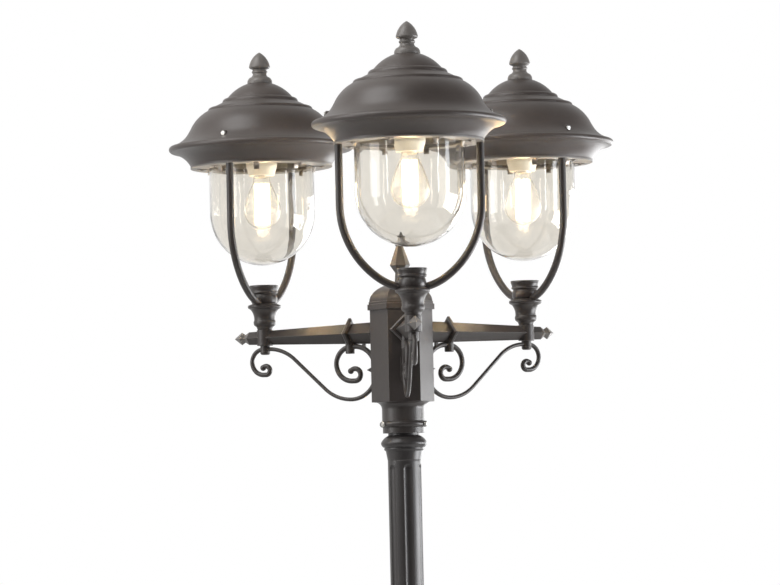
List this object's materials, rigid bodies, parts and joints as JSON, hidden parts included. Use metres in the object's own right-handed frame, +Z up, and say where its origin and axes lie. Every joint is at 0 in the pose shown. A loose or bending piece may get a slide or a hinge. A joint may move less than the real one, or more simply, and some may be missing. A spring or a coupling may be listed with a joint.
{
  "type": "triple head lamp post",
  "caption": "Outdoor lamp post whose fluted column carries arms with scroll braces and round-hooded lanterns over clear bowls with bulbs.",
  "frame": {"origin": "centre of the anchor bolt circle on the foot's underside, on the post's axis", "axes": "+Z up along the column, -Y along the front arm, +X to the right seen from the front"},
  "size_m": [0.726, 0.669, 2.1995],
  "materials": {
    "coated_aluminium": "matt dark brown-grey powder coat",
    "plated_steel": "zinc-plated",
    "brass": "plain",
    "grommet_rubber": "matt",
    "terminal_plastic": "moulded",
    "lead_insulation": "sheathed lead",
    "lampholder_plastic": "moulded heat-proof plastic",
    "bulb_cap_metal": "rolled screw cap",
    "bulb_glass": "frosted",
    "clear_glass": "clear"
  },
  "bodies": {
    "post": {"base_flange": "coated_aluminium", "base_pedestal": "coated_aluminium", "column_lower": "coated_aluminium", "column_joint_ring": "coated_aluminium", "column_upper": "coated_aluminium", "column_capital": "coated_aluminium", "cable_grommet": "grommet_rubber", "earth_stud": "brass"},
    "head": {"hub_neck": "coated_aluminium", "neck_set_screws": "plated_steel", "hub_body": "coated_aluminium", "hub_lock_nuts": "plated_steel", "hub_cap": "coated_aluminium", "hub_spire": "coated_aluminium", "cap_bridge": "plated_steel", "terminal_block": "terminal_plastic", "arm_tips": "coated_aluminium", "arm_clamps": "coated_aluminium", "arm_stems": "coated_aluminium", "lamp_leads": "lead_insulation", "arm_front": "coated_aluminium", "arm_right": "coated_aluminium", "arm_left": "coated_aluminium", "scroll_front": "coated_aluminium", "scroll_right": "coated_aluminium", "scroll_left": "coated_aluminium", "cup_front": "coated_aluminium", "cup_right": "coated_aluminium", "cup_left": "coated_aluminium", "yoke_front": "coated_aluminium", "yoke_right": "coated_aluminium", "yoke_left": "coated_aluminium", "gallery_ring_front": "coated_aluminium", "gallery_ring_right": "coated_aluminium", "gallery_ring_left": "coated_aluminium", "bowl_front": "clear_glass", "bowl_right": "clear_glass", "bowl_left": "clear_glass"},
    "hood_front": {"hood_front": "coated_aluminium", "hood_finial_front": "coated_aluminium", "hood_screws_front": "plated_steel", "lampholder_front": "lampholder_plastic", "holder_tube_front": "plated_steel"},
    "bulb_front": {"bulb_cap_front": "bulb_cap_metal", "bulb_glass_front": "bulb_glass"},
    "hood_right": {"hood_right": "coated_aluminium", "hood_finial_right": "coated_aluminium", "hood_screws_right": "plated_steel", "lampholder_right": "lampholder_plastic", "holder_tube_right": "plated_steel"},
    "bulb_right": {"bulb_cap_right": "bulb_cap_metal", "bulb_glass_right": "bulb_glass"},
    "hood_left": {"hood_left": "coated_aluminium", "hood_finial_left": "coated_aluminium", "hood_screws_left": "plated_steel", "lampholder_left": "lampholder_plastic", "holder_tube_left": "plated_steel"},
    "bulb_left": {"bulb_cap_left": "bulb_cap_metal", "bulb_glass_left": "bulb_glass"}
  },
  "joints": [
    {"name": "head_swivel", "type": "hinge", "parent": "post", "child": "head", "pos_m": [0, 0, 1.58], "axis": [0, 0, 1], "range_deg": [-180, 180]},
    {"name": "hood_lift_front", "type": "slide", "parent": "head", "child": "hood_front", "axis": [0, 0, 1], "range_m": [0, 0.18]},
    {"name": "bulb_turn_front", "type": "hinge", "parent": "hood_front", "child": "bulb_front", "pos_m": [0, -0.246, 1.99], "axis": [0, 0, 1], "continuous": true},
    {"name": "hood_lift_right", "type": "slide", "parent": "head", "child": "hood_right", "axis": [0, 0, 1], "range_m": [0, 0.18]},
    {"name": "bulb_turn_right", "type": "hinge", "parent": "hood_right", "child": "bulb_right", "pos_m": [0.21304, 0.123, 1.99], "axis": [0, 0, 1], "continuous": true},
    {"name": "hood_lift_left", "type": "slide", "parent": "head", "child": "hood_left", "axis": [0, 0, 1], "range_m": [0, 0.18]},
    {"name": "bulb_turn_left", "type": "hinge", "parent": "hood_left", "child": "bulb_left", "pos_m": [-0.21304, 0.123, 1.99], "axis": [0, 0, 1], "continuous": true}
  ]
}
